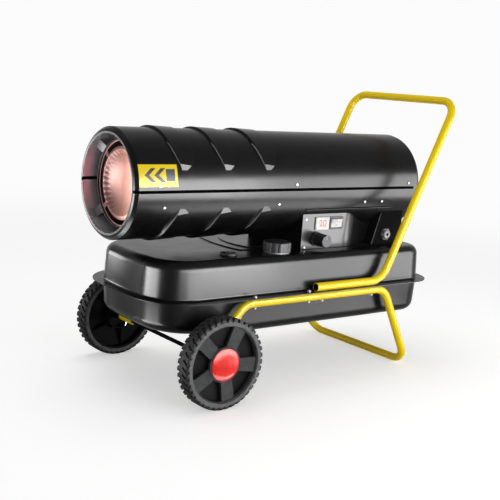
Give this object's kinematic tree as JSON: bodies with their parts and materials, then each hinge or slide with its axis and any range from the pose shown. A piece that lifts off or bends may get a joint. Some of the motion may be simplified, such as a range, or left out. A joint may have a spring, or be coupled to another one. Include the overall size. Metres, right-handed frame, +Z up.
{
  "type": "forced air heater",
  "caption": "Wheeled forced air heater: ribbed round barrel with an open outlet and fan, over a flanged fuel tank on a tubular frame with a push handle and a side control panel.",
  "frame": {"origin": "centre of the heater's plan on the floor: the middle of its bounding box at Z = 0, where the wheels and the rear foot bar stand", "axes": "+Z up; +X from the hot air outlet towards the fan end and the push handle; +Y to the right of a person who stands at the handle and faces the outlet, so the control panel is on the -Y side"},
  "size_m": [1.144, 0.626, 0.876],
  "materials": {
    "black_paint": "gloss",
    "yellow_paint": "gloss",
    "hot_steel": "heat-stained",
    "bare_steel": "plated",
    "fan_aluminium": "satin",
    "pump_aluminium": "cast",
    "brass": "satin",
    "porcelain": "glazed",
    "black_plastic": "moulded",
    "wheel_plastic": "moulded",
    "tyre": "moulded",
    "red_plastic": "gloss",
    "grey_plastic": "moulded",
    "display": "gloss",
    "clear_window": "clear",
    "foam": "open foam",
    "seal_rubber": "matte",
    "circuit_green": "lacquered"
  },
  "bodies": {
    "heater": {"upper_shell": "black_paint", "lower_shell": "black_paint", "seam_seals": "seal_rubber", "shell_screws": "bare_steel", "combustion_chamber": "hot_steel", "flame_baffle": "hot_steel", "chamber_brackets": "bare_steel", "burner_head": "hot_steel", "fuel_nozzle": "brass", "spark_plug": "porcelain", "flame_sensor": "black_plastic", "motor": "bare_steel", "motor_clamp": "bare_steel", "motor_struts": "bare_steel", "pump_housing": "pump_aluminium", "pump_end_cover": "pump_aluminium", "air_filter": "foam", "pressure_gauge": "black_plastic", "rear_guard": "black_paint", "tank_upper": "black_paint", "tank_lower": "black_paint", "drain_plug": "bare_steel", "filler_neck": "bare_steel", "filler_strainer": "bare_steel", "fuel_gauge": "black_plastic", "gauge_window": "clear_window", "frame_rail": "yellow_paint", "handle": "yellow_paint", "handle_inserts": "bare_steel", "frame_bolts": "bare_steel", "axle": "bare_steel", "cotter_pins": "bare_steel", "axle_nuts": "bare_steel", "base_box": "black_paint", "control_panel": "black_paint", "panel_screws": "bare_steel", "rear_side_plate": "black_paint", "cable_gland": "grey_plastic", "display_window": "display", "rocker_frame": "black_plastic", "thermostat": "grey_plastic", "circuit_board": "circuit_green", "ignition_transformer": "black_plastic", "fuel_filter": "grey_plastic"},
    "rotor": {"motor_shaft": "bare_steel", "fan": "fan_aluminium", "pump_rotor": "grey_plastic"},
    "cap_stopper": {"cap_core": "black_plastic"},
    "cap_grip": {"fuel_cap": "black_plastic"},
    "float": {"fuel_float": "black_plastic"},
    "knob": {"thermostat_knob": "black_plastic"},
    "rocker": {"power_rocker": "black_plastic"},
    "left_wheel": {"wheel_left": "wheel_plastic", "tyre_left": "tyre", "hub_cap_left": "red_plastic"},
    "right_wheel": {"wheel_right": "wheel_plastic", "tyre_right": "tyre", "hub_cap_right": "red_plastic"}
  },
  "joints": [
    {"name": "fan_spin", "type": "hinge", "parent": "heater", "child": "rotor", "pos_m": [0, 0, 0.582], "axis": [1, 0, 0], "continuous": true},
    {"name": "cap_lift", "type": "slide", "parent": "heater", "child": "cap_stopper", "axis": [0, 0, 1], "range_m": [0, 0.022]},
    {"name": "cap_turn", "type": "hinge", "parent": "cap_stopper", "child": "cap_grip", "pos_m": [-0.064, -0.134, 0.4], "axis": [0, 0, 1], "continuous": true},
    {"name": "float_swing", "type": "hinge", "parent": "heater", "child": "float", "pos_m": [-0.233, -0.122, 0.365], "axis": [0, 1, 0], "range_deg": [0, 54]},
    {"name": "knob_turn", "type": "hinge", "parent": "heater", "child": "knob", "pos_m": [0.092, -0.131, 0.421], "axis": [0, -1, 0], "range_deg": [0, 270]},
    {"name": "rocker_tilt", "type": "hinge", "parent": "heater", "child": "rocker", "pos_m": [0.1696, -0.1325, 0.4683], "axis": [1, 0, 0], "range_deg": [-14, 0]},
    {"name": "left_wheel_spin", "type": "hinge", "parent": "heater", "child": "left_wheel", "pos_m": [-0.356, -0.2835, 0.128], "axis": [0, 1, 0], "continuous": true},
    {"name": "right_wheel_spin", "type": "hinge", "parent": "heater", "child": "right_wheel", "pos_m": [-0.356, 0.2835, 0.128], "axis": [0, 1, 0], "continuous": true}
  ]
}
